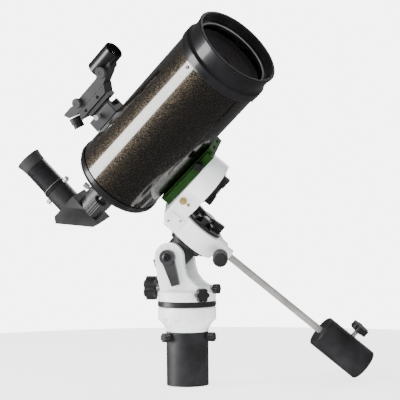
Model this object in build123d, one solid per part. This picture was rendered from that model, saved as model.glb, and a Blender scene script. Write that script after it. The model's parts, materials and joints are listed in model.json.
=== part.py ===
from build123d import *
import os
from math import cos, sin, radians

# Maksutov telescope on an equatorial head. Millimetres, +Z up.
# The origin is the centre of the pier tube's open lower end, where a tripod or pier holds it.

# ---- driving dimensions ----
LATITUDE = 47.5          # tilt of the polar axis above the horizon, degrees
POLAR_TURN = 20.0        # how far the arm is turned about the polar axis, degrees
DEC_TURN = 19.7          # how far the tube is turned about the declination axis, degrees
FINDER_TURN = 14.7       # finder and eyepiece stand this far round the tube, degrees

PIER_R, PIER_WALL, PIER_H = 29.0, 2.5, 74.0
SOCKET_H, NECK_R = 54.0, 24.5   # open socket below, narrower neck round the plug above
HEAD_R = 40.0            # round base of the mount
TILT_X, TILT_Z = -16.5, 177.0    # the latitude pivot
EAR_IN, EAR_OUT = 21.0, 31.0     # inner and outer faces of the fork's ears
SHAFT_R = 7.0            # polar and declination shafts
RUN = 0.05               # running clearance on a radius
ARM_Z0, ARM_Z1 = 31.5, 60.0      # the arm's drum along the polar axis
SLOW_X, SLOW_Z = 42.0, 47.0   # slow motion knob, beside the bar's socket
ARM_R = 38.0
BAR_AT = 50.0            # the counterweight bar's place along the polar axis
DEC_AT = 109.0           # the declination axis's place along the polar axis
DEC_IN, DEC_OUT = 25.0, 54.0     # the declination drum, measured from the polar axis
DEC_R = 36.0
BAR_R, BAR_START, BAR_END = 5.0, 48.0, 300.0
WEIGHT_R, WEIGHT_START, WEIGHT_END = 23.0, 224.0, 304.0
TUBE_OFF = 128.2         # tube axis from the polar axis
TUBE_R, TUBE_WALL = 61.5, 1.5
TUBE_REAR, TUBE_FRONT, TUBE_MOUTH = -76.0, 149.0, 187.0
CELL_REAR = -92.0
FOLD_S = -173.0          # where the eyepiece axis meets the tube axis

os.makedirs("parts", exist_ok=True)
UP = (Align.CENTER, Align.CENTER, Align.MIN)


def rod(radius, z0, z1):
    return Pos(0, 0, z0) * Cylinder(radius, z1 - z0, align=UP)


def ring(outer, inner, z0, z1):
    return rod(outer, z0, z1) - rod(inner, z0 - 1, z1 + 1)


def lathe(profile):
    """Solid of revolution about Z from (radius, height) points."""
    outline = Polyline(*[(r, 0, z) for r, z in profile], close=True)
    return revolve(make_face(outline), Axis.Z)


def slab(points, y0, y1):
    """Plate with an outline in XZ, from y0 to y1."""
    outline = Polyline(*[(x, y0, z) for x, z in points], close=True)
    return extrude(make_face(outline), amount=y1 - y0, dir=(0, 1, 0))


def block(x0, x1, y0, y1, z0, z1):
    box = Box(x1 - x0, y1 - y0, z1 - z0)
    return Pos((x0 + x1) / 2, (y0 + y1) / 2, (z0 + z1) / 2) * box


def compass(degrees):
    """Level direction at an angle from +X."""
    return (cos(radians(degrees)), sin(radians(degrees)), 0)


def around(shape, count, first=0.0):
    return [Rot(0, 0, first + 360 / count * i) * shape for i in range(count)]


def star_knob(radius, height, lobes=6):
    """Hand knob on a local Z stem: a body with finger scallops."""
    body = rod(radius, 0, height)
    scallop = Pos(radius * 1.12, 0, 0) * rod(radius * 0.3, -1, height + 1)
    for cut in around(scallop, lobes):
        body -= cut
    return body


def save(name, shape, frame=None):
    solids = shape if isinstance(shape, (list, tuple)) else [shape]
    if frame is not None:
        solids = [frame.location * s for s in solids]
    solids = [one for s in solids for one in s.solids()]
    body = solids[0] if len(solids) == 1 else Compound(children=solids)
    body.label = name
    export_step(body, f"parts/{name}.step")


# ---- frames ----
lat, turn, dec, fin = (radians(a) for a in (LATITUDE, POLAR_TURN, DEC_TURN, FINDER_TURN))
polar = Vector(cos(lat), 0, sin(lat))
drop = Vector(sin(lat), 0, -cos(lat))
down = drop * cos(turn) + Vector(0, 1, 0) * sin(turn)      # towards the counterweight
side = Vector(0, -1, 0) * cos(turn) + drop * sin(turn)
sight = polar * cos(dec) + side * sin(dec)                 # the tube's optical axis
tilt_point = Vector(TILT_X, 0, TILT_Z)
cross_point = tilt_point + polar * DEC_AT
tube_point = cross_point - down * TUBE_OFF

tilt_frame = Plane(tilt_point, x_dir=drop, z_dir=polar)    # local Y is world +Y
arm_frame = Plane(tilt_point, x_dir=down, z_dir=polar)
saddle_frame = Plane(tube_point, x_dir=-down, z_dir=sight)
finder_dir = saddle_frame.x_dir * cos(fin) - saddle_frame.y_dir * sin(fin)
finder_frame = Plane(tube_point, x_dir=finder_dir, z_dir=sight)


def frame_at(base, x, y, z, towards):
    """A frame at a local place of another frame, with its Z along a local direction."""
    spot = base.from_local_coords(Vector(x, y, z))
    tip = base.from_local_coords(Vector(x, y, z) + Vector(*towards))
    return Plane(spot, z_dir=tip - spot)


world = Plane.XY


# ---- pier ----
def make_pier():
    socket = ring(PIER_R, PIER_R - PIER_WALL, 0, SOCKET_H)
    save("pier_tube", socket + ring(PIER_R, NECK_R, SOCKET_H, PIER_H))
    head = lathe([(0, 57), (NECK_R, 57), (NECK_R, PIER_H), (PIER_R, PIER_H), (PIER_R + 1, 78),
                  (33, 83), (36, 87), (38, 88), (38, 89), (HEAD_R, 90), (HEAD_R, 106),
                  (HEAD_R - 1, 108), (0, 108)])
    for cut in around(Pos(HEAD_R + 1, 0, 0) * rod(6, 86, 93), 12):
        head -= cut
    head -= rod(5 + RUN, 53, 109) + rod(9.5, 56, 63)
    save("pier_head", head)
    knob = rod(3, PIER_R + 0.2, PIER_R + 3) + Pos(0, 0, PIER_R + 3) * star_knob(6.5, 9, 8)
    seats = [Plane((0, 0, 67), x_dir=(0, 0, 1), z_dir=compass(angle)) for angle in (-128, -8, 112)]
    save("pier_screws", [seat.location * knob for seat in seats])
    save("bearing_ring", lathe([(5.5, 108.2), (38.8, 108.2), (40.4, 109.2), (40.4, 115),
                                (38.8, 116), (5.5, 116)]))
    save("azimuth_bolt", rod(5, 62, 124) + rod(9, 58, 63))


# ---- fork: the casting that turns in azimuth ----
def make_fork():
    base = lathe([(0, 116.3), (HEAD_R, 116.3), (HEAD_R, 128.5), (HEAD_R - 3, 131.5), (0, 131.5)])
    base -= rod(5 + RUN, 116, 125)
    half = 20.0
    foot = 128.0
    fork = base
    for sign in (-1, 1):
        y0, y1 = sorted((sign * EAR_IN, sign * EAR_OUT))
        web = slab([(TILT_X - half, TILT_Z), (-33, 152), (-28, foot), (27, foot),
                    (25, 136), (15, 143), (8, 152), (4.5, 164), (TILT_X + half, TILT_Z)], y0, y1)
        disc = Plane((TILT_X, y0, TILT_Z), z_dir=(0, 1, 0)).location * rod(half, 0, EAR_OUT - EAR_IN)
        fork += web + disc
    fork += slab([(-30, 121), (-24, 121), (-20, 143), (-28, 143)], -EAR_IN, EAR_IN)
    fork += frame_at(world, 0, 0, 133, compass(-10)).location * rod(6, 12, 37)
    pin = Plane((TILT_X, -60, TILT_Z), z_dir=(0, 1, 0))
    fork -= pin.location * rod(5 + RUN, 0, 120)
    for i in range(10):
        angle = radians(36 * i + 18)
        spot = (TILT_X + 15 * cos(angle), -EAR_OUT - 0.1, TILT_Z + 15 * sin(angle))
        fork -= Plane(spot, z_dir=(0, 1, 0)).location * rod(1.9, 0, 0.9)
    fork -= Plane((-50, 0, 133), z_dir=(1, 0, 0)).location * rod(4 + RUN, 0, 34)
    save("fork", fork)
    save("tilt_bolt", rod(5, 60 - EAR_OUT - 9, 60 + EAR_OUT + 1) + rod(8, 60 + EAR_OUT + 0.1, 60 + EAR_OUT + 5), pin)
    lever = slab([(-9, 0), (-5, -40), (6, -40), (9, 0)], -7, -1)
    hub = Plane((0, 0.5, 0), z_dir=(0, -1, 0)).location * (rod(10.5, 0, 9) - rod(5 + RUN, -1, 10))
    lever -= Plane((0, 2, 0), z_dir=(0, -1, 0)).location * rod(7, -1, 12)
    lever = Pos(TILT_X, -EAR_OUT - 0.8, TILT_Z) * (hub + lever).rotate(Axis.Y, -16)
    save("latitude_lever", lever)
    push = Plane((0, 0, 133), x_dir=(0, 1, 0), z_dir=(-1, 0, 0))
    save("latitude_screw", rod(4, 23, 46) + Pos(0, 0, 44) * star_knob(16.5, 14), push)
    knobs = (("azimuth_lock", -49, 126, HEAD_R + 1.5, 9.5, 9), ("azimuth_screw", -10, 133, 38.2, 7, 8))
    for name, angle, height, start, radius, depth in knobs:
        out = Plane((0, 0, height), x_dir=(0, 0, 1), z_dir=compass(angle))
        stem = rod(2.5, start + 0.3, start + 4)
        save(name, stem + Pos(0, 0, start + 3) * star_knob(radius, depth), out)


# ---- polar block between the ears ----
def make_polar_block():
    block_body = rod(19.5, -24, 24) & block(-18.5, 18.5, -20.7, 20.7, -24, 24)
    block_body += rod(24, 21, 25.5)
    for z in (-14, -8, 8, 14):
        block_body += rod(19.5, z, z + 2)
    block_body -= rod(SHAFT_R, -30, 30)
    across = Plane((0, -40, 0), z_dir=(0, 1, 0)).location * rod(5 + RUN, 0, 80)
    block_body -= across
    save("polar_block", block_body, tilt_frame)
    save("polar_flange", lathe([(SHAFT_R, 25.6), (28, 25.6), (31, 27.5), (31, 30.3), (30, 31), (SHAFT_R, 31)]),
         tilt_frame)
    save("polar_shaft", rod(SHAFT_R, 6, 72), tilt_frame)
    save("polar_cap", lathe([(0, -28), (14, -28), (16, -26), (16, -24.1), (0, -24.1)]), tilt_frame)


# ---- arm: polar drum, corner and declination drum in one casting ----
def make_arm():
    drum = rod(ARM_R, ARM_Z0, ARM_Z1)
    neck = slab([(-DEC_OUT, ARM_Z0 + 12), (-DEC_OUT + 9, ARM_Z0), (0, ARM_Z0), (0, ARM_Z1),
                 (-DEC_IN - 2, ARM_Z1), (-DEC_IN, 76), (-DEC_IN, DEC_AT - 18), (-DEC_OUT, DEC_AT - 18)], -30, 30)
    drum2 = Plane((-DEC_IN, 0, DEC_AT), z_dir=(-1, 0, 0)).location * rod(DEC_R, 0, DEC_OUT - DEC_IN)
    boss = slab([(20, ARM_Z0), (47, ARM_Z0 + 8), (47, ARM_Z1 - 2), (20, ARM_Z1)], -15, 15)
    socket = Plane((30, 0, BAR_AT - 2), z_dir=(1, 0, 0)).location * rod(10, 0, 27)
    arm = drum + neck + drum2 + boss + socket
    arm -= rod(SHAFT_R + RUN, ARM_Z0 - 1, ARM_Z1 + 1)
    arm -= Plane((0, 0, DEC_AT), z_dir=(-1, 0, 0)).location * rod(SHAFT_R + RUN, 10, 70)
    arm -= Plane((BAR_START - 6, 0, BAR_AT - 2), z_dir=(1, 0, 0)).location * rod(BAR_R, 0, 30)
    arm -= Plane((SLOW_X, -9, SLOW_Z), z_dir=(0, -1, 0)).location * rod(3 + RUN, 0, 12)
    arm -= Plane((-46, -21, 74), z_dir=(0, -1, 0)).location * rod(2.5 + RUN, 0, 12)
    arm -= rod(30.5, ARM_Z1, 79)
    save("arm", arm, arm_frame)
    cover = block(-DEC_OUT + 6, -DEC_OUT + 28, -31.6, -30.1, ARM_Z0 + 4, ARM_Z0 + 22)
    save("worm_cover", cover, arm_frame)
    worm = Plane((-46, -22, 74), z_dir=(0, -1, 0)).location * (rod(2.5, 0, 13) + rod(5, 8.2, 10.5))
    save("dec_worm_shaft", worm, arm_frame)
    knob = Plane((SLOW_X, -10, SLOW_Z), z_dir=(0, -1, 0)).location * (rod(3, 0, 20) + rod(10.5, 19, 41))
    save("slow_motion_knob", knob, arm_frame)
    make_clutch("polar_clutch", arm_frame, ARM_Z1 + 0.3, 29)
    flipped = Plane(cross_point - down * DEC_IN, x_dir=polar, z_dir=down)
    make_clutch("dec_clutch", flipped, 0.3, 25)
    save("polar_nut", rod(9, 72.1, 76), arm_frame)


def make_clutch(name, plane, base, radius):
    """Clutch wheel: a plate with three finger lobes round an open hub."""
    wheel = ring(radius, SHAFT_R + 2.5, base, base + 4) + ring(radius * 0.55, SHAFT_R + 2.5, base, base + 9)
    lobe = block(radius * 0.35, radius - 1, -3.5, 3.5, base + 3, base + radius * 0.5)
    rib = block(radius * 0.35, radius - 4, -1.5, 1.5, base + 3, base + radius * 0.33)
    for piece in around(lobe, 3, 20) + around(rib, 6, 50):
        wheel += piece
    wheel -= rod(SHAFT_R + 2.5, base - 1, base + 40)
    save(name, wheel, plane)


# ---- counterweight ----
def make_counterweight():
    bar_axis = Plane(tilt_point + polar * (BAR_AT - 2), x_dir=polar, z_dir=down)
    save("counterweight_bar", rod(BAR_R, BAR_START - 6, BAR_END), bar_axis)
    weight = lathe([(BAR_R + RUN, WEIGHT_START), (WEIGHT_R - 1.2, WEIGHT_START), (WEIGHT_R, WEIGHT_START + 1.2),
                    (WEIGHT_R, WEIGHT_END - 1.2), (WEIGHT_R - 1.2, WEIGHT_END), (10, WEIGHT_END),
                    (10, BAR_END - 6), (BAR_R + RUN, BAR_END - 6)])
    across = frame_at(world, 0, 0, (WEIGHT_START + WEIGHT_END) / 2, (1, 0, 0))
    weight -= across.location * rod(3 + RUN, 8, 30)
    save("counterweight", weight, bar_axis)
    knob = rod(3, 9, 37) + Pos(0, 0, 33) * star_knob(13, 9)
    save("weight_lock_knob", across.location * knob, bar_axis)
    save("bar_end_cap", rod(8.5, BAR_END + 0.05, BAR_END + 3), bar_axis)


# ---- saddle and dovetail, between the declination drum and the tube ----
def make_saddle():
    near = TUBE_OFF - DEC_OUT                     # drum face, measured from the tube axis
    plate = block(-near + 0.3, -near + 5, -27, 27, -50, 50)
    fixed = slab([(-near + 5, -50), (-near + 11, -50), (-near + 11, 50), (-near + 5, 50)], 21, 27)
    plate += fixed
    plate -= Plane((-near, 0, 0), z_dir=(1, 0, 0)).location * rod(SHAFT_R, -1, 7)
    for z in (-46, 40):
        plate -= block(-near + 3, -near + 6, -12, 12, z, z + 6)
    save("saddle", plate, saddle_frame)
    jaw = block(-near + 5.1, -near + 11, -27, -21, -50, 50)
    jaw -= Plane((-near + 8, -20, 0), z_dir=(0, -1, 0)).location * rod(2.5 + RUN, -2, 10)
    save("saddle_jaw", jaw, saddle_frame)
    bar = block(-near + 5.1, -near + 13.5, -20.8, 20.8, -54, 54)
    bar -= rod(TUBE_R + 0.1, -60, 60)
    for y in (-9, 9):
        bar -= block(-near + 5, -near + 8, y - 3, y + 3, -55, 55)
    save("dovetail_bar", bar, saddle_frame)
    save("dec_shaft", rod(SHAFT_R, 0, 46), Plane(cross_point - down * (DEC_OUT + 5), z_dir=down))
    grip = rod(2.5, 0, 3) + Pos(0, 0, 2.5) * star_knob(6, 8, 8)
    knob = Plane((-near + 8, 27.2, 30), z_dir=(0, 1, 0)).location * grip
    save("saddle_knob", knob, saddle_frame)


# ---- optical tube ----
def make_tube():
    inner = TUBE_R - TUBE_WALL
    save("tube", ring(TUBE_R, inner, TUBE_REAR, TUBE_FRONT), saddle_frame)
    rear = lathe([(20, CELL_REAR), (50, CELL_REAR), (60, CELL_REAR + 4), (63, CELL_REAR + 10), (63, TUBE_REAR - 0.1),
                  (58, TUBE_REAR - 0.1), (58, CELL_REAR + 6), (20, CELL_REAR + 6)])
    focus_seat = Pos(0, 36, 0) * rod(3 + RUN, CELL_REAR - 1, CELL_REAR + 8)
    save("rear_cell", rear - focus_seat, saddle_frame)
    front = lathe([(58, TUBE_FRONT + 0.1), (63, TUBE_FRONT + 0.1), (63.5, TUBE_FRONT + 2), (63.5, TUBE_FRONT + 12),
                   (61, TUBE_FRONT + 14), (60, TUBE_FRONT + 16), (60, TUBE_MOUTH - 4), (61.5, TUBE_MOUTH - 2.5),
                   (61.5, TUBE_MOUTH - 1), (60.5, TUBE_MOUTH), (57.5, TUBE_MOUTH), (55, TUBE_MOUTH - 3),
                   (55, TUBE_MOUTH - 8), (53.2, TUBE_MOUTH - 9), (53.2, TUBE_FRONT + 0.1)])
    save("front_cell", front, saddle_frame)
    lens_z = TUBE_MOUTH - 26
    bulge = 8.0
    rim = 52.0
    radius = (rim ** 2 + bulge ** 2) / (2 * bulge)
    hollow = Pos(0, 0, lens_z + radius) * Sphere(radius)
    backing = Pos(0, 0, lens_z - 9 + radius) * Sphere(radius)
    save("corrector", (rod(rim, lens_z - 9, lens_z + bulge) - hollow) & backing, saddle_frame)
    save("lens_ring", ring(53, 50.5, lens_z + bulge + 0.1, lens_z + bulge + 4), saddle_frame)
    save("secondary_baffle", lathe([(12, lens_z - 34), (16, lens_z - 34), (17.5, lens_z - 10), (13.5, lens_z - 10)]),
         saddle_frame)
    mirror = ring(52, 16, TUBE_REAR - 2, TUBE_REAR + 10) - Pos(0, 0, TUBE_REAR + 7 + 400) * Sphere(400)
    save("primary_mirror", mirror, saddle_frame)
    save("mirror_carrier", ring(55, 15.8, TUBE_REAR - 5, TUBE_REAR - 2.1), saddle_frame)
    save("baffle_tube", ring(14.5, 13, CELL_REAR + 0.5, TUBE_REAR + 130), saddle_frame)
    save("focus_rod", Pos(0, 36, 0) * rod(3, CELL_REAR - 8, TUBE_REAR - 5.2), saddle_frame)
    knob = rod(9.5, -134, -106) + rod(6, -106, CELL_REAR - 8.2)
    for cut in around(Pos(9.8, 0, 0) * rod(0.9, -131, -109), 18):
        knob -= cut
    knob -= rod(3.3, -108, -99)
    save("focus_knob", Pos(0, 36, 0) * knob, saddle_frame)
    heads = around(Pos(TUBE_R + 0.15, 0, 0) * frame_at(world, 0, 0, TUBE_FRONT - 7, (1, 0, 0)).location
                   * rod(2.2, 0, 1.4), 3, 55)
    heads += around(frame_at(world, TUBE_R + 0.15, 0, TUBE_REAR + 7, (1, 0, 0)).location * rod(2.2, 0, 1.4), 3, 100)
    save("tube_screws", heads, saddle_frame)


def make_diagonal():
    save("visual_back", ring(19.5, 16, -136, CELL_REAR - 0.1) - frame_at(world, 0, 0, -128, (1, 0, 0)).location
         * rod(2 + RUN, 10, 30) + ring(19.9, 13.1, CELL_REAR - 3, CELL_REAR - 0.1), saddle_frame)
    screw_at = frame_at(world, 0, 0, -128, (1, 0, 0)).location
    save("back_screw", screw_at * (rod(2, 16.3, 22) + rod(4, 21, 29)), saddle_frame)
    body = slab([(27, -150), (27, -196), (19, -203), (-24, -160), (-27, -150)], -17.5, 17.5)
    body += rod(17.8, -150.1, -137) + rod(15.8, -137, -112)
    out = Plane((20, 0, FOLD_S), z_dir=(1, 0, 0)).location
    body += out * rod(17.5, 0, 38)
    body -= rod(13, FOLD_S - 4, -100)
    body -= out * rod(15.9, 2, 40)
    body -= Plane((-20, 0, FOLD_S), z_dir=(1, 0, 0)).location * rod(13, 14, 60)
    body -= Plane((50, 0, FOLD_S), z_dir=(0, 0, -1)).location * rod(1.5 + RUN, 10, 30)
    body -= Plane((53, 0, FOLD_S), z_dir=(0, 0, 1)).location * rod(1.5 + RUN, 10, 30)
    body -= slab([(9.3, -188), (12, -185.3), (-10.3, -163), (-13, -165.7)], -12.2, 12.2)
    save("diagonal_body", body, finder_frame)
    save("diagonal_mirror", slab([(9.5, -187.5), (11.5, -185.5), (-10.5, -163.5), (-12.5, -165.5)], -12, 12),
         finder_frame)
    screw = rod(1.5, 16.3, 20) + rod(3.8, 19, 26)
    places = [Plane((50, 0, FOLD_S), z_dir=(0, 0, -1)), Plane((53, 0, FOLD_S), z_dir=(0, 0, 1))]
    save("diagonal_screws", [place.location * screw for place in places], finder_frame)
    eye = Plane((0, 0, FOLD_S), z_dir=(1, 0, 0)).location
    shell = lathe([(13.5, 30), (15.8, 30), (15.8, 58.2), (16.6, 58.3), (16.6, 98), (19, 111), (19, 114),
                   (16, 114), (12, 106), (12, 62), (13.5, 58)])
    save("eyepiece_body", eye * shell, finder_frame)
    save("eyepiece_lenses", [eye * rod(11.9, 96, 101), eye * rod(11.9, 64, 69)], finder_frame)


def make_finder():
    foot = block(57, 78, -14, 14, -50, -6) - rod(TUBE_R + 0.15, -60, 10)
    foot = foot - block(70, 79, -9, 9, -60, 0)
    save("finder_foot", foot, finder_frame)
    rail = block(70.2, 77.8, -8.8, 8.8, -46, -10) + block(77, 84, -6, 6, -44, -12) + block(83, 89, -9, 9, -44, 0)
    rail -= Plane((74, 14, -30), z_dir=(0, -1, 0)).location * rod(1.5 + RUN, -2, 10)
    save("finder_clamp", rail, finder_frame)
    save("foot_screw", Plane((74, 14.2, -30), z_dir=(0, 1, 0)).location * (rod(1.5, 0, 3) + rod(4, 2, 10)),
         finder_frame)
    lower = slab([(89.2, -58), (89.2, 0), (99, 8), (99, -52)], -11, 11)
    save("finder_base", lower, finder_frame)
    frame = slab([(99.2, -60), (99.2, 6), (104, 22), (108, 30), (118, 34), (112, 6), (112, -6), (112, -54),
                  (116, -62), (116, -75), (104, -70)], -11, 11)
    ring_axis = Pos(121, 0, 8)
    frame += slab([(106, 6), (106, 30), (116, 42), (116, 4)], -11, 11)
    frame -= ring_axis * rod(13.6, -100, 100)
    save("finder_frame", frame, finder_frame)
    save("finder_tube", ring_axis * ring(13.5, 12.1, 0, 42), finder_frame)
    save("finder_glass", ring_axis * rod(12, 30, 32), finder_frame)
    save("finder_lamp", Plane((98, 0, -70), z_dir=(-1, 0, -0.35)).location * (rod(8.5, -4, 5) + rod(7.5, 5, 12)),
         finder_frame)
    save("finder_power_knob", Plane((111, 11.2, 20), z_dir=(0, 1, 0)).location * (rod(2, 0, 3) + rod(8.5, 2.8, 8)),
         finder_frame)
    save("finder_trim_knob", Plane((109, 11.2, -42), z_dir=(0, 1, 0)).location * (rod(2, 0, 2) + rod(7, 1, 6)),
         finder_frame)


make_pier()
make_fork()
make_polar_block()
make_arm()
make_counterweight()
make_saddle()
make_tube()
make_diagonal()
make_finder()
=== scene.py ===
# %% [markdown]
# A Maksutov telescope is a short closed tube: a thick curved lens at the front and a mirror at the back.
# Here it rides on an equatorial head, balanced by a weight on a steel bar. The CAD frame already holds
# every piece at its true size and place, so this lesson gives the pieces their surfaces and edges.

# %% Load the frame
import bpy
import bmesh
import json
from math import cos, sin, pi, radians
from mathutils import Matrix, Vector


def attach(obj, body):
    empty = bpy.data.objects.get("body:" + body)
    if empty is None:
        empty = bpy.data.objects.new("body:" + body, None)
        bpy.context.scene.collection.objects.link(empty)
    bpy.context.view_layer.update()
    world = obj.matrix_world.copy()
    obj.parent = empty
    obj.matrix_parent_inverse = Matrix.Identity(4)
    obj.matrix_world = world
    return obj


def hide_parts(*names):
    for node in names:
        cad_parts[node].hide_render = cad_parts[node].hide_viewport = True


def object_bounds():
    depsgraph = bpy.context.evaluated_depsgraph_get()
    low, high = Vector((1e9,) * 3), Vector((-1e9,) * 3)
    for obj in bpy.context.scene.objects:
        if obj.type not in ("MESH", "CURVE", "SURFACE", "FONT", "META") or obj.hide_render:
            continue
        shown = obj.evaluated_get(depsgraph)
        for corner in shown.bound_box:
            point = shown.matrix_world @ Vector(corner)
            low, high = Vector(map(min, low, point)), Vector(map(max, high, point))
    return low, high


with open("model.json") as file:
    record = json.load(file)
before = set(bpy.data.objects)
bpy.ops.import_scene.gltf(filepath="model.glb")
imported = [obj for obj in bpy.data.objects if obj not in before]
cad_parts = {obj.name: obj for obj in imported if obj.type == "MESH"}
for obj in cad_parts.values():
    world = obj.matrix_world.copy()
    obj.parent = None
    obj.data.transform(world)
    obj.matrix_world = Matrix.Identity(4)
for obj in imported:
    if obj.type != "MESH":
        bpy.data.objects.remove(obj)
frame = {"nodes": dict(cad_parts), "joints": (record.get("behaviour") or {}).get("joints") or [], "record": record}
nodes = frame["nodes"]
joints = {joint["name"]: joint for joint in frame["joints"]}
cad_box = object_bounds()
MM = 0.001
print("CAD box", [round(v, 3) for corner in cad_box for v in corner])

# %% [markdown]
# The working directions come from the joints: each one states the line that its piece turns about or
# slides along. With them, a new piece is modelled upright at the origin and then carried to its place.

# %% Axes of the instrument
def axis_of(name):
    return Vector(joints[name]["axis"]).normalized()


def point_of(name):
    return Vector(joints[name]["pos_m"])


SIGHT = axis_of("focus_turn")                # the way the tube looks
EYE = axis_of("eyepiece_slide")              # out of the star diagonal
DOWN = axis_of("declination_turn")           # towards the counterweight
TUBE = point_of("diagonal_swivel")           # tube centre, beside the saddle


def placed(origin, up, across=None):
    """Matrix of a local frame whose Z is up and whose X is as near as can be to across."""
    z = up.normalized()
    guide = across if across is not None else (Vector((0, 0, 1)) if abs(z.z) < 0.9 else Vector((1, 0, 0)))
    y = z.cross(guide).normalized()
    x = y.cross(z)
    return Matrix.Translation(origin) @ Matrix((x, y, z)).transposed().to_4x4()


tube_place = placed(TUBE, SIGHT, -DOWN)
finder_place = placed(TUBE, SIGHT, EYE)
print("tube centre", TUBE, "looks along", SIGHT)

# %% [markdown]
# The camera stands almost level with the mount, a little to the right of it, with a long lens so that
# the tube keeps its proportions. It is made from its direction, distance and aim.

# %% Camera
AZIMUTH, ELEVATION, ROLL = radians(16), radians(0.5), radians(0.6)
DISTANCE, AIM_RIGHT, AIM_UP = 2.07, 0.0167, 0.2545
back = Vector((sin(AZIMUTH) * cos(ELEVATION), -cos(AZIMUTH) * cos(ELEVATION), sin(ELEVATION)))
right = Vector((cos(AZIMUTH), sin(AZIMUTH), 0))
up = back.cross(right)
turn = Matrix.Rotation(-ROLL, 3, back)
right, up = turn @ right, turn @ up
camera = bpy.data.objects.new("camera", bpy.data.cameras.new("camera"))
bpy.context.scene.collection.objects.link(camera)
camera.data.lens = 135
camera.data.sensor_width = 36
camera.matrix_world = Matrix.Translation(right * AIM_RIGHT + up * AIM_UP + back * DISTANCE) @ Matrix(
    (right, up, back)).transposed().to_4x4()
bpy.context.scene.camera = camera
print("camera at", camera.location)

# %% [markdown]
# A product is lit with large soft sources. A long panel stands where the gloss tube mirrors it as one
# bright streak, and weaker ones fill from the right, the front and behind. The world is white: strong
# as the backdrop, even as light, and dim where a glossy surface mirrors it, so that the tube stays dark.

# %% Light
KEY_ASIDE, KEY_FACING = 0.44, 0.9            # which way the mirroring flank of the tube faces
KEY_REACH = 1.2                              # metres from the tube to the key panel
LIGHT_STRENGTH, MIRRORED_STRENGTH, BACKDROP_STRENGTH = 0.7, 0.16, 6.0


def soft_light(name, place, aim, power, width, height, across=None):
    data = bpy.data.lights.new(name, "AREA")
    data.shape = "RECTANGLE"
    data.size = width
    data.size_y = height
    data.energy = power
    lamp = bpy.data.objects.new(name, data)
    bpy.context.scene.collection.objects.link(lamp)
    lamp.matrix_world = placed(Vector(place), Vector(place) - Vector(aim), across)
    return lamp


# The key panel stands where the tube's flank mirrors it to the camera, a third in from the left edge.
aside = back.cross(SIGHT).normalized()
facing = (back - SIGHT * back.dot(SIGHT)).normalized()
flank = (aside * KEY_ASIDE + facing * KEY_FACING).normalized()
bounce = (flank * 2 * flank.dot(back) - back).normalized()
middle = TUBE + SIGHT * 0.03
key = soft_light("key_panel", middle + bounce * KEY_REACH, middle, 30, 0.52, 1.0, across=SIGHT.cross(bounce))
aim = Vector((0.0, 0.0, 0.3))
soft_light("fill_panel", (1.6, -1.3, 0.6), aim, 16, 1.0, 1.2).visible_glossy = False
soft_light("front_panel", (0.3, -2.2, 0.9), aim, 16, 1.2, 0.8).visible_glossy = False
soft_light("rear_panel", (0.2, 1.6, 1.2), aim, 12, 1.2, 0.8)
world = bpy.data.worlds.new("studio")
bpy.context.scene.world = world
world.use_nodes = True
studio = world.node_tree
rays = studio.nodes.new("ShaderNodeLightPath")


def white(node, strength):
    node.inputs["Color"].default_value = (1, 1, 1, 1)
    node.inputs["Strength"].default_value = strength
    return node.outputs["Background"]


def for_rays(kind, others, chosen):
    """Show chosen to one kind of ray, and others to the rest."""
    mix = studio.nodes.new("ShaderNodeMixShader")
    studio.links.new(rays.outputs[kind], mix.inputs["Fac"])
    studio.links.new(others, mix.inputs[1])
    studio.links.new(chosen, mix.inputs[2])
    return mix.outputs["Shader"]


lit = white(studio.nodes["Background"], LIGHT_STRENGTH)
mirrored = white(studio.nodes.new("ShaderNodeBackground"), MIRRORED_STRENGTH)
backdrop = white(studio.nodes.new("ShaderNodeBackground"), BACKDROP_STRENGTH)
seen = for_rays("Is Camera Ray", for_rays("Is Glossy Ray", lit, mirrored), backdrop)
studio.links.new(seen, studio.nodes["World Output"].inputs["Surface"])
print("key panel", key.location)

# %% [markdown]
# Every finish is a Principled shader. Its even values are set on the shader's own sockets, and noise on
# the piece's own coordinates adds the slow changes of colour and gloss and the fine grain of the coat.

# %% Materials: shared parts
def start_material(name, **values):
    """A Principled material with its uniform numbers set on its own sockets."""
    made = bpy.data.materials.new(name)
    made.use_nodes = True
    shader = made.node_tree.nodes["Principled BSDF"]
    for socket, value in values.items():
        shader.inputs[socket.replace("_", " ").title().replace("Ior", "IOR")].default_value = value
    return made, made.node_tree, shader


def noise_at(tree, scale, detail=3.0, stretch=(1, 1, 1)):
    """Noise on the object's own coordinates, in metres, so a scale of 1000 is about a millimetre."""
    place = tree.nodes.new("ShaderNodeTexCoord")
    mapping = tree.nodes.new("ShaderNodeMapping")
    mapping.inputs["Scale"].default_value = stretch
    noise = tree.nodes.new("ShaderNodeTexNoise")
    noise.inputs["Scale"].default_value = scale
    noise.inputs["Detail"].default_value = detail
    tree.links.new(place.outputs["Object"], mapping.inputs["Vector"])
    tree.links.new(mapping.outputs["Vector"], noise.inputs["Vector"])
    return noise


def ramp_from(tree, source, low, high, start=0.35, end=0.65):
    ramp = tree.nodes.new("ShaderNodeValToRGB")
    ramp.color_ramp.elements[0].position = start
    ramp.color_ramp.elements[0].color = (*low, 1)
    ramp.color_ramp.elements[1].position = end
    ramp.color_ramp.elements[1].color = (*high, 1)
    tree.links.new(source, ramp.inputs["Fac"])
    return ramp.outputs["Color"]


def add_bump(tree, shader, height, strength, distance):
    bump = tree.nodes.new("ShaderNodeBump")
    bump.inputs["Strength"].default_value = strength
    bump.inputs["Distance"].default_value = distance
    tree.links.new(height, bump.inputs["Height"])
    tree.links.new(bump.outputs["Normal"], shader.inputs["Normal"])


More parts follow.
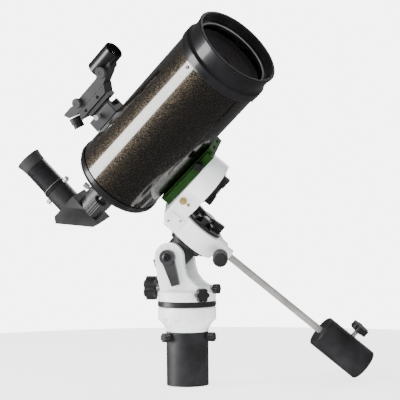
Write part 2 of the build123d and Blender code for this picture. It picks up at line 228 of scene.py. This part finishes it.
def coated(name, low, high, rough, grain, depth, metallic=0.0, coat=0.0, stretch=(1, 1, 1)):
    """A finish with a fine grain in its bump, and slow changes in its colour and gloss."""
    made, tree, shader = start_material(name, metallic=metallic, coat_weight=coat)
    shader.inputs["Coat Roughness"].default_value = 0.08
    cloud = noise_at(tree, 35, 4.0)
    tree.links.new(ramp_from(tree, cloud.outputs["Fac"], low, high), shader.inputs["Base Color"])
    patch = noise_at(tree, 90, 5.0)
    spread = tree.nodes.new("ShaderNodeMapRange")
    spread.inputs["To Min"].default_value = rough - 0.05
    spread.inputs["To Max"].default_value = rough + 0.07
    tree.links.new(patch.outputs["Fac"], spread.inputs["Value"])
    tree.links.new(spread.outputs["Result"], shader.inputs["Roughness"])
    add_bump(tree, shader, noise_at(tree, grain, 2.0, stretch).outputs["Fac"], 0.35, depth)
    return made


# %% [markdown]
# The tube's paint is gloss black with fine metal flake under a clear coat. A pattern of cells a little
# over half a millimetre wide gives each flake its own brightness, and only the brightest third show.

# %% Flake paint
FLAKE_SCALE, FLAKE_START = 1700, 0.66
FLAKE_DARK, FLAKE_BRIGHT = (0.003, 0.0025, 0.002), (0.16, 0.125, 0.082)


def flake_paint():
    made, tree, shader = start_material("flake_paint", roughness=0.46, coat_weight=1.0, metallic=1.0)
    shader.inputs["Coat Roughness"].default_value = 0.1
    shader.inputs["Coat IOR"].default_value = 1.8
    place = tree.nodes.new("ShaderNodeTexCoord")
    cells = tree.nodes.new("ShaderNodeTexVoronoi")
    cells.inputs["Scale"].default_value = FLAKE_SCALE
    tree.links.new(place.outputs["Object"], cells.inputs["Vector"])
    split = tree.nodes.new("ShaderNodeSeparateColor")
    tree.links.new(cells.outputs["Color"], split.inputs["Color"])
    flakes = ramp_from(tree, split.outputs["Red"], FLAKE_DARK, FLAKE_BRIGHT, FLAKE_START, 1.0)
    cloud = noise_at(tree, 60, 2.0)
    haze = ramp_from(tree, cloud.outputs["Fac"], (0.002, 0.002, 0.002), (0.012, 0.009, 0.006))
    mix = tree.nodes.new("ShaderNodeMix")
    mix.data_type = "RGBA"
    mix.blend_type = "ADD"
    mix.inputs["Factor"].default_value = 1.0
    tree.links.new(flakes, mix.inputs["A"])
    tree.links.new(haze, mix.inputs["B"])
    tree.links.new(mix.outputs["Result"], shader.inputs["Base Color"])
    return made


# %% [markdown]
# The other finishes share one recipe with different numbers: powder coat on the castings, a crinkle coat
# on the weight, satin paint on the tube's cells, moulded plastic on the knobs, and bare metals.

# %% Finishes
WHITE_LOW, WHITE_HIGH = (0.78, 0.79, 0.81), (0.86, 0.87, 0.88)
finishes = {
    "speckled_paint": flake_paint(),
    "black_metal": coated("satin_black", (0.012, 0.012, 0.013), (0.022, 0.022, 0.024), 0.33, 1800, 0.00004,
                          metallic=0.6, coat=0.3),
    "white_casting": coated("white_powder_coat", WHITE_LOW, WHITE_HIGH, 0.34, 1300, 0.00009, coat=0.25),
    "black_casting": coated("crinkle_black", (0.008, 0.008, 0.009), (0.018, 0.018, 0.020), 0.5, 1500,
                            0.00022),
    "black_plastic": coated("moulded_black", (0.008, 0.008, 0.008), (0.016, 0.016, 0.016), 0.38, 2200,
                            0.00006),
    "grey_plastic": coated("moulded_grey", (0.016, 0.016, 0.017), (0.028, 0.027, 0.029), 0.42, 1900,
                           0.00007),
    "rubber_grip": coated("grip_rubber", (0.018, 0.018, 0.018), (0.03, 0.03, 0.03), 0.62, 1400, 0.0001),
    "steel": coated("turned_steel", (0.36, 0.35, 0.34), (0.5, 0.49, 0.48), 0.28, 900, 0.00003, metallic=0.6,
                    stretch=(1, 1, 8)),
    "bright_metal": coated("bright_plate", (0.42, 0.40, 0.38), (0.60, 0.58, 0.55), 0.16, 700, 0.00002,
                           metallic=0.6),
    "green_anodised": coated("green_anodised", (0.012, 0.048, 0.007), (0.02, 0.075, 0.011), 0.36, 1700,
                             0.00003, metallic=0.55, coat=0.1),
    "brass": coated("worn_brass", (0.50, 0.36, 0.13), (0.66, 0.50, 0.22), 0.25, 1200, 0.00003, metallic=0.6),
    "mirror_coat": coated("mirror_coat", (0.80, 0.81, 0.82), (0.86, 0.87, 0.88), 0.06, 2500, 0.0,
                          metallic=1.0),
}


def coated_glass():
    """Lens glass with the faint purple of its anti-reflection coating."""
    made, tree, shader = start_material("coated_glass", roughness=0.02, transmission_weight=1.0, ior=1.45)
    shade = noise_at(tree, 14, 1.0)
    tint = ramp_from(tree, shade.outputs["Fac"], (0.66, 0.50, 0.72), (0.80, 0.62, 0.76))
    tree.links.new(tint, shader.inputs["Base Color"])
    return made


finishes["optical_glass"] = coated_glass()
for part in frame["record"]["subparts"]:
    piece = nodes[part["node"]]
    piece.data.materials.clear()
    piece.data.materials.append(finishes[part["material_slot"]])
# The baffle behind the lens takes the satin black finish in place of its mirror coat: a painted dark reflection.
nodes["secondary_baffle"].data.materials[0] = finishes["black_metal"]
SLOT_OF = {part["node"]: part["material_slot"] for part in frame["record"]["subparts"]}
BODY_OF = {node: body for body, held in frame["record"]["behaviour"]["bodies"].items() for node in held}
print(len(finishes), "finishes on", len(SLOT_OF), "CAD pieces")

# %% [markdown]
# Every real casting and moulding has rounded edges, and those catch the light. A bevel is cut on a
# merged copy of the CAD piece, only where two faces meet sharply, so the size and place stay true.

# %% Rounded copies of CAD pieces
SHARP, CREASE, NEARLY_FLAT = radians(28), radians(32), radians(0.6)
MERGE = 0.000002                             # metres within which two points are one


def finish_piece(name, shape, body, slot):
    """Turn a bmesh into an object with its material, body and shading."""
    data = bpy.data.meshes.new(name)
    shape.to_mesh(data)
    shape.free()
    data.materials.append(finishes[slot])
    made = bpy.data.objects.new(name, data)
    bpy.context.scene.collection.objects.link(made)
    data.shade_smooth()
    data.set_sharp_from_angle(angle=CREASE)
    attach(made, body)
    return made


def cut_edges(made, width, segments, angle):
    """Bevel only the edges where two faces meet more sharply than angle."""
    edge = made.modifiers.new("edges", "BEVEL")
    edge.width = width
    edge.segments = segments
    edge.limit_method = "ANGLE"
    edge.angle_limit = angle
    return edge


def rounded(node, width):
    shape = bmesh.new()
    shape.from_mesh(nodes[node].data)
    bmesh.ops.remove_doubles(shape, verts=shape.verts, dist=MERGE)
    bmesh.ops.dissolve_limit(shape, angle_limit=NEARLY_FLAT, verts=shape.verts, edges=shape.edges,
                             use_dissolve_boundaries=False)
    made = finish_piece(node + "_rounded", shape, BODY_OF[node], SLOT_OF[node])
    edge = cut_edges(made, width, 3, SHARP)
    edge.use_clamp_overlap = True
    edge.harden_normals = True
    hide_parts(node)
    return made


edge_widths = {                              # millimetres
    "fork": 1.6, "arm": 2.0, "pier_head": 0.8, "latitude_lever": 1.2, "polar_block": 0.7, "polar_flange": 0.5,
    "saddle": 0.5, "saddle_jaw": 0.6, "dovetail_bar": 0.5, "worm_cover": 0.5, "diagonal_body": 0.8,
    "finder_base": 0.6, "finder_frame": 0.5, "finder_clamp": 0.5, "finder_foot": 1.2, "counterweight": 0.5,
    "azimuth_lock": 0.7, "azimuth_screw": 0.6, "latitude_screw": 1.2, "weight_lock_knob": 1.1,
    "pier_screws": 0.6, "polar_clutch": 0.5, "dec_clutch": 0.5, "bearing_ring": 0.3,
}
for node, width in edge_widths.items():
    rounded(node, width * MM)
print("rounded", len(edge_widths), "pieces")

# %% [markdown]
# Knobs, eyepieces and screws are turned parts. A profile is drawn once as a line of points and spun
# about its axis, and a ridged grip starts from a circle whose points move in and out as a wave.

# %% Turned and ridged pieces
STEPS, RIDGE_SHARP = 72, radians(50)


def turned(name, profile, place, body, slot, steps=STEPS):
    """Spin a closed (radius, height) profile in millimetres about the local Z of place."""
    shape = bmesh.new()
    corners = [shape.verts.new((r * MM, 0, z * MM)) for r, z in profile]
    edges = [shape.edges.new((a, b)) for a, b in zip(corners, corners[1:] + corners[:1])
             if not (a.co.x < 1e-7 and b.co.x < 1e-7)]
    bmesh.ops.spin(shape, geom=corners + edges, cent=(0, 0, 0), axis=(0, 0, 1), angle=2 * pi, steps=steps,
                   use_merge=True, use_duplicate=False)
    bmesh.ops.remove_doubles(shape, verts=shape.verts, dist=MERGE)
    bmesh.ops.recalc_face_normals(shape, faces=shape.faces)
    shape.transform(place)
    return finish_piece(name, shape, body, slot)


def ridged(name, radius, depth, count, z0, z1, place, body, slot):
    """A solid grip with count ridges round it, from z0 to z1 in millimetres."""
    shape = bmesh.new()
    bmesh.ops.create_circle(shape, cap_ends=True, segments=count * 4, radius=radius * MM)
    for number, corner in enumerate(shape.verts):
        corner.co.xy *= 1 - depth * (number % 4 in (1, 2))
        corner.co.z = z0 * MM
    grown = bmesh.ops.extrude_face_region(shape, geom=shape.faces[:])
    top = [part for part in grown["geom"] if isinstance(part, bmesh.types.BMVert)]
    bmesh.ops.translate(shape, verts=top, vec=(0, 0, (z1 - z0) * MM))
    bmesh.ops.recalc_face_normals(shape, faces=shape.faces)
    shape.transform(place)
    made = finish_piece(name, shape, body, slot)
    cut_edges(made, radius * 0.05 * MM, 2, RIDGE_SHARP)
    return made


# %% [markdown]
# The eyepiece is a turned barrel with a soft rubber cup pressed on its eye end, and a thin bright ring
# marks the shoulder that stops it. These slide in the star diagonal, so they ride on the eyepiece's
# body, and the collar round the hole rides on the diagonal.

# %% Eyepiece
def spot(place, x, y, z):
    return place @ Vector((x * MM, y * MM, z * MM))


FOLD = -173                                   # along the tube, where the light turns out to the eye
eye_place = placed(spot(finder_place, 0, 0, FOLD), EYE, SIGHT)
barrel = turned("eyepiece_barrel", [
    (13.5, 30), (15.8, 30), (15.8, 58.2), (16.6, 58.3), (17.0, 58.8), (17.0, 61.2), (16.6, 61.6), (16.6, 88),
    (16.2, 88.4), (16.2, 89.2), (16.6, 89.6), (16.6, 97.5), (12, 97.5), (12, 62), (13.5, 58)],
    eye_place, "eyepiece", "black_metal")
cup = turned("eye_cup", [
    (12.2, 97.6), (16.4, 97.6), (16.8, 98.2), (17.1, 102), (17.8, 107), (18.8, 112), (18.9, 113.4),
    (18.2, 114), (16.6, 114), (15.4, 111), (12.8, 106), (12.2, 102)], eye_place, "eyepiece", "rubber_grip")
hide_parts("eyepiece_body")
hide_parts("eyepiece_body")
turned("eyepiece_band", [(16.7, 59.6), (17.08, 59.6), (17.08, 60.1), (16.7, 60.1)], eye_place, "eyepiece",
       "bright_metal")
turned("diagonal_collar", [(17.4, 53), (18.1, 53.4), (18.1, 57.6), (17.4, 58), (15.95, 58), (15.95, 53)],
       eye_place, "diagonal", "black_metal")

# %% [markdown]
# Thumb screws have a bright knurled head on a plain shank. One function makes them all, because only
# their sizes and their places differ. The saddle's knob is the black one.

# %% Thumb screws
def thumb_screw(name, place, body, shank, shank_span, head, head_span, ridges=16):
    stem = turned(name + "_shank", [(0, shank_span[0]), (shank, shank_span[0]), (shank, shank_span[1]),
                                    (0, shank_span[1])], place, body, "bright_metal", 24)
    grip = ridged(name + "_head", head, 0.08, ridges, *head_span, place, body, "bright_metal")
    return stem, grip


BACK_SCREW = -128                            # along the tube, in millimetres
back_place = placed(spot(tube_place, 0, 0, BACK_SCREW), -DOWN, SIGHT)
for piece in thumb_screw("back_screw", back_place, "back_screw", 2, (16.3, 21), 4, (21, 29)):
    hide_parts("back_screw")
for name, along, sign in (("diagonal_screw_low", 50, -1), ("diagonal_screw_high", 53, 1)):
    place = placed(spot(finder_place, along, 0, FOLD), SIGHT * sign, EYE)
    for piece in thumb_screw(name, place, "diagonal", 1.5, (16.3, 19), 3.8, (19, 26)):
        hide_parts("diagonal_screws")
FINDER_SIDE = axis_of("finder_power_turn")
foot_place = placed(spot(finder_place, 74, 14.2, -30), FINDER_SIDE, SIGHT)
for piece in thumb_screw("foot_screw", foot_place, "foot_screw", 1.5, (0, 2), 4, (2, 10)):
    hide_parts("foot_screw")
SADDLE_SIDE = axis_of("saddle_knob_turn")
saddle_place = placed(point_of("saddle_knob_turn") + SADDLE_SIDE * 27.2 * MM, SADDLE_SIDE, SIGHT)
for piece in thumb_screw("saddle_knob", saddle_place, "saddle_knob", 2.5, (0, 2.5), 6, (2.5, 10.5), 20):
    piece.data.materials[0] = finishes["black_metal"]
    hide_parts("saddle_knob")
print("thumb screws placed")

# %% [markdown]
# The focus knob and the slow motion knob are gripped with cold fingers, so both have deep ridges. One
# has a turned collar and the other a stem and a cap. The latitude and weight screws show a bright
# thread between knob and casting.

# %% Grips and threads
FOCUS_ASIDE = 36                             # from the tube's own line, in millimetres
focus_place = placed(spot(tube_place, 0, FOCUS_ASIDE, 0), SIGHT, -DOWN)
focus_grip = ridged("focus_grip", 9.5, 0.09, 18, -134, -109, focus_place, "focus", "grey_plastic")
focus_collar = turned("focus_collar", [(3.2, -109), (7.5, -109), (8.4, -107.5), (6, -105.5), (6, -100.2),
                                       (3.2, -100.2)], focus_place, "focus", "black_metal")
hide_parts("focus_knob")
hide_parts("focus_knob")
POLAR = axis_of("polar_turn")
arm_place = placed(point_of("polar_turn"), POLAR, DOWN)
SLOW = axis_of("slow_motion_turn")
slow_place = placed(point_of("slow_motion_turn") + SLOW * 10 * MM, SLOW, POLAR)
slow_grip = ridged("slow_grip", 10.5, 0.06, 24, 19, 40, slow_place, "slow_motion", "rubber_grip")
slow_cap = turned("slow_cap", [(0, 40), (9, 40), (8.4, 40.8), (6, 41), (0, 40.6)], slow_place, "slow_motion",
                  "black_plastic")
slow_stem = turned("slow_stem", [(0, 0), (3, 0), (3, 19), (0, 19)], slow_place, "slow_motion",
                   "bright_metal", 24)
for piece in (slow_grip, slow_cap, slow_stem):
    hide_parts("slow_motion_knob")


def thread(name, radius, z0, z1, pitch, place, body):
    """A bright sleeve with the rings of a thread, over the plain shank of a screw."""
    turns = int((z1 - z0) / pitch)
    outside = [(radius + 0.35 * (i % 2), z0 + i * pitch / 2) for i in range(2 * turns + 1)]
    inside = [(radius - 0.6, outside[-1][1]), (radius - 0.6, z0)]
    return turned(name, outside + inside, place, body, "bright_metal", 32)


LATITUDE_SCREW_Z = 133
screw_place = placed(Vector((0, 0, LATITUDE_SCREW_Z * MM)), Vector((-1, 0, 0)), Vector((0, 1, 0)))
thread("latitude_thread", 4.0, 36.4, 44, 1.0, screw_place, "latitude_screw")
weight_place = placed(point_of("weight_lock_turn"), POLAR, DOWN)
thread("weight_thread", 3.0, 23.3, 33, 0.9, weight_place, "weight_lock")

# %% [markdown]
# The dot finder is a small open sight: a tube with a thin glass, a lamp at the back and two side knobs.
# Its knobs are discs with a dished face, and domed screws hold its two halves together. The same screw
# head is set on the worm cover, beside the worm's end and on the latitude lever.

# %% Dot finder
FINDER_FACE = 11.2                           # millimetres from a side knob's joint to the frame's face


def dished_disc(name, place, body, radius, z0, z1, slot):
    rim = ridged(name + "_rim", radius, 0.04, 26, z0, z1 - 0.6, place, body, slot)
    face = turned(name + "_face", [(0, z1 - 0.6), (radius * 0.84, z1 - 0.6), (radius * 0.8, z1),
                                   (radius * 0.3, z1), (radius * 0.24, z1 - 0.5), (0, z1 - 0.5)],
                  place, body, slot, 48)
    return rim, face


power_place = placed(point_of("finder_power_turn") + FINDER_SIDE * FINDER_FACE * MM, FINDER_SIDE, SIGHT)
for piece in dished_disc("power_disc", power_place, "finder_power", 8.5, 2.8, 8, "grey_plastic"):
    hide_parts("finder_power_knob")
trim_place = placed(point_of("finder_trim_turn") + FINDER_SIDE * FINDER_FACE * MM, FINDER_SIDE, SIGHT)
for piece in dished_disc("trim_disc", trim_place, "finder_trim", 7, 1, 6, "grey_plastic"):
    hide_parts("finder_trim_knob")
sight_place = placed(spot(finder_place, 121, 0, 8), SIGHT, EYE)
sight_tube = turned("sight_tube", [(12.1, 0.4), (12.5, 0), (13.1, 0), (13.5, 0.4), (13.5, 41.5), (13.1, 42),
                                   (12.5, 42), (12.1, 41.5)], sight_place, "tube", "black_metal")
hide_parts("finder_tube")


def screw_head(name, place, body, radius, slot="black_metal"):
    """A domed head with a round driver recess."""
    return turned(name, [(0, -0.5), (radius, -0.5), (radius, 0.3), (radius * 0.8, 0.9), (radius * 0.45, 1.0),
                         (radius * 0.4, 0.2), (0, 0.2)], place, body, slot, 24)


for number, along in enumerate((-14, -42)):
    place = placed(spot(finder_place, 94, 11, along), FINDER_SIDE, SIGHT)
    screw_head(f"finder_screw_{number + 1}", place, "tube", 2.4)
for number, (x, z) in enumerate(((-44, 40), (-31, 50))):
    place = placed(spot(arm_place, x, -31.6, z), SLOW, POLAR)
    screw_head(f"cover_screw_{number + 1}", place, "arm", 1.7, "steel")
stop_place = placed(point_of("worm_turn") + SLOW * 30 * MM + DOWN * 9 * MM, SLOW, POLAR)
screw_head("worm_stop", stop_place, "arm", 2.6, "brass")
pivot = placed(point_of("latitude_tilt"), Vector((0, -1, 0)), Vector((0, 0, 1)))
screw_head("lever_bolt_head", pivot @ Matrix.Translation((0, 0, 41 * MM)), "lever", 5.5)
print("finder and screws made")

# %% [markdown]
# The mouth of the tube is threaded against stray light, and a thin bright edge shows where the lens is
# held. Both are turned rings inside the front cell.

# %% Front mouth
MOUTH, LENS_EDGE = 187, 173
FINE_STEPS = 128
steps_inside = [(55 - 0.5 * (i % 2), MOUTH - 8.6 + i * 0.55) for i in range(9)]
turned("mouth_thread", steps_inside + [(55.6, MOUTH - 4.2), (55.6, MOUTH - 8.6)], tube_place, "tube",
       "black_metal", FINE_STEPS)
turned("lens_edge", [(50.9, LENS_EDGE + 0.1), (52.9, LENS_EDGE + 0.1), (52.9, LENS_EDGE + 0.9),
                     (51.6, LENS_EDGE + 0.9)], tube_place, "tube", "steel", FINE_STEPS)

# %% [markdown]
# The floor is only a stage for the light.

# %% Floor
FLOOR_RADIUS, FLOOR_GAP, FLOOR_GLOW = 0.85, 0.0005, 2.4
floor_shape = bmesh.new()
bmesh.ops.create_circle(floor_shape, cap_ends=True, segments=96, radius=FLOOR_RADIUS)
bmesh.ops.translate(floor_shape, verts=floor_shape.verts, vec=(0, 0, min(0, cad_box[0].z) - FLOOR_GAP))
floor_data = bpy.data.meshes.new("floor")
floor_shape.to_mesh(floor_data)
floor_shape.free()
floor = bpy.data.objects.new("floor", floor_data)
bpy.context.scene.collection.objects.link(floor)
pale, pale_tree, pale_shader = start_material("pale_floor", roughness=0.9, emission_strength=FLOOR_GLOW)
pale_shader.inputs["Emission Color"].default_value = (1, 1, 1, 1)
grain = noise_at(pale_tree, 3, 2.0)
pale_tree.links.new(ramp_from(pale_tree, grain.outputs["Fac"], (0.88, 0.88, 0.88), (0.9, 0.9, 0.9)),
                    pale_shader.inputs["Base Color"])
floor_data.materials.append(pale)
floor.visible_glossy = False
bpy.context.view_layer.update()
